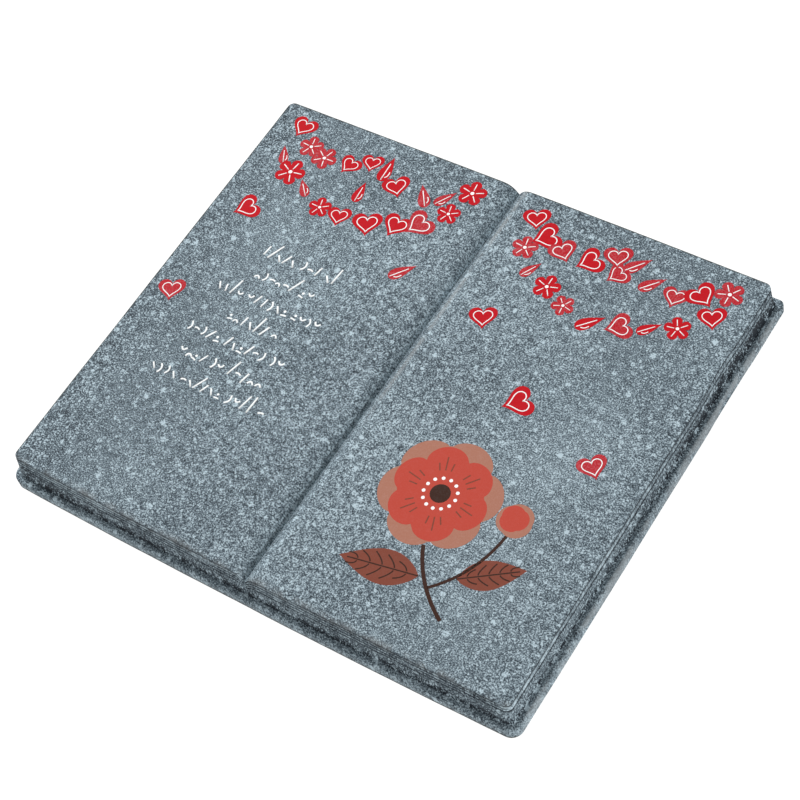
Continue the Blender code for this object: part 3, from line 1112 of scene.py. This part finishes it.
ROW_MIDDLE = -0.0512
FIRST_ROW = 0.0244
ROW_PITCH = 0.00942
ROW_STRAY = 0.0004
ROW_LENGTHS = 0.0296, 0.0230, 0.0435, 0.0212, 0.0422, 0.0351, 0.0467
WORD_GAP = 0.0030
STROKE_PITCH = 0.0029
STROKE_HEIGHT = 0.0040
TALL_STROKE = 0.0064
STROKE_WIDTH = 0.00062
STROKE_TURN = 0.3
DOT_SIZE = 0.0005


def inscription_points():
    """The places of the strokes: each row is cut into words of two to six strokes."""
    draw = np.random.default_rng(12)
    places = []
    for row, length in enumerate(ROW_LENGTHS):
        x = ROW_MIDDLE - length / 2
        end = ROW_MIDDLE + length / 2
        left_in_word = draw.integers(3, 7)
        while x < end:
            places.append((x, FIRST_ROW - row * ROW_PITCH + draw.uniform(-ROW_STRAY, ROW_STRAY), 0.0))
            x += STROKE_PITCH
            left_in_word -= 1
            if left_in_word == 0:
                x += WORD_GAP - STROKE_PITCH / 2
                left_in_word = draw.integers(2, 7)
    mesh = bpy.data.meshes.new("inscription")
    mesh.from_pydata(places, [], [])
    return mesh


def inscription_tree():
    bench = PrintBench("inscription")

    def tick(height, lean):
        ends = {"Start": (-lean, -STROKE_HEIGHT / 2, 0), "End": (lean, height - STROKE_HEIGHT / 2, 0)}
        return bench.stroke(bench.node("GeometryNodeCurvePrimitiveLine", {}, ends), STROKE_WIDTH)

    def bow(start, middle, end):
        points = [(x * STROKE_HEIGHT, y * STROKE_HEIGHT, 0.0) for x, y in (start, middle, end)]
        return bench.stroke(bench.bow(*points, 10), STROKE_WIDTH)

    dot = bench.scaled(bench.ring(12, True), DOT_SIZE)
    strokes = (
        tick(STROKE_HEIGHT, 0.0005),
        tick(STROKE_HEIGHT * 0.7, -0.0006),
        tick(TALL_STROKE, 0.0006),
        bow((-0.26, -0.35), (0.0, 0.15), (0.26, -0.35)),
        bow((-0.26, 0.2), (0.0, -0.3), (0.26, 0.2)),
        bow((-0.27, -0.1), (0.0, 0.12), (0.27, -0.02)),
        bow((-0.1, -0.45), (0.32, 0.0), (-0.1, 0.45)),
        bench.joined(dot, bow((-0.27, -0.42), (0.0, -0.36), (0.27, -0.42))),
    )
    flat = bench.scattered(bench.input("Geometry"), strokes, 0.9, 1.1, STROKE_TURN)
    bench.close(bench.film(flat), (white_ink, True))
    return bench


inscription = inscription_tree().run("inscription_print", inscription_points())
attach(inscription, "root")

# The studio
# A plain pale floor under a large soft lamp at the back left, with a bright room around. The camera stands
# where the photograph was taken from, with a long lens.

CAMERA_YAW = math.radians(47.568)
CAMERA_PITCH = math.radians(55.399)
CAMERA_ROLL = math.radians(-17.983)
CAMERA_DISTANCE = 0.6797
CAMERA_TARGET = Vector((0.00188, 0.0874 - COVER_LENGTH / 2 + FOOT_BOW, 0.0))
CAMERA_LENS = 91.29
FLOOR_SIZE = 6.0
FLOOR_GLOW = 1.0
ROOM_STRENGTH = 0.44
LAMP_PLACE = Vector((-1.15, 0.6, 1.6))
LAMP_SIZE = 0.9
LAMP_POWER = 41.5
SIDE_LAMP_PLACE = Vector((1.15, -0.3, 0.3))
SIDE_LAMP_SIZE = 0.5
SIDE_LAMP_POWER = 6.0


def studio_floor():
    mesh = bpy.data.meshes.new("floor")
    half = FLOOR_SIZE / 2
    corners = [(-half, -half, 0), (half, -half, 0), (half, half, 0), (-half, half, 0)]
    mesh.from_pydata(corners, [], [(0, 1, 2, 3)])
    floor = bpy.data.objects.new("floor", mesh)
    bpy.context.scene.collection.objects.link(floor)
    material, bench = new_finish("pale_floor")
    sockets = {"Base Color": (0.1, 0.1, 0.1, 1.0), "Roughness": 0.9, "Specular IOR Level": 0.0}
    sockets.update({"Emission Color": (1.0, 1.0, 1.0, 1.0), "Emission Strength": FLOOR_GLOW})
    body = bench.node("ShaderNodeBsdfPrincipled", {}, sockets)
    bench.node("ShaderNodeOutputMaterial", {}, {"Surface": body})
    mesh.materials.append(material)


def soft_lamp(name, place, size, power):
    data = bpy.data.lights.new(name, "AREA")
    data.shape = "DISK"
    data.size = size
    data.energy = power
    lamp = bpy.data.objects.new(name, data)
    lamp.location = place
    lamp.rotation_euler = (-place).to_track_quat("-Z", "Y").to_euler()
    bpy.context.scene.collection.objects.link(lamp)


def bright_room():
    world = bpy.data.worlds.new("bright_room")
    world.use_nodes = True
    world.node_tree.nodes["Background"].inputs["Color"].default_value = (1.0, 1.0, 1.0, 1.0)
    world.node_tree.nodes["Background"].inputs["Strength"].default_value = ROOM_STRENGTH
    bpy.context.scene.world = world


def studio_camera():
    back = Vector(
        (
            math.sin(CAMERA_YAW) * math.cos(CAMERA_PITCH),
            -math.cos(CAMERA_YAW) * math.cos(CAMERA_PITCH),
            math.sin(CAMERA_PITCH),
        )
    )
    level = Vector((0, 0, 1)).cross(back).normalized()
    upright = back.cross(level)
    right = math.cos(CAMERA_ROLL) * level + math.sin(CAMERA_ROLL) * upright
    up = math.cos(CAMERA_ROLL) * upright - math.sin(CAMERA_ROLL) * level
    data = bpy.data.cameras.new("camera")
    data.lens = CAMERA_LENS
    camera = bpy.data.objects.new("camera", data)
    camera.matrix_world = Matrix.Translation(CAMERA_TARGET + back * CAMERA_DISTANCE) @ Matrix(
        (right, up, back)
    ).transposed().to_4x4()
    bpy.context.scene.collection.objects.link(camera)
    bpy.context.scene.camera = camera


studio_floor()
soft_lamp("main_lamp", LAMP_PLACE, LAMP_SIZE, LAMP_POWER)
soft_lamp("side_lamp", SIDE_LAMP_PLACE, SIDE_LAMP_SIZE, SIDE_LAMP_POWER)
bright_room()
studio_camera()
bpy.context.scene.view_settings.view_transform = "Standard"
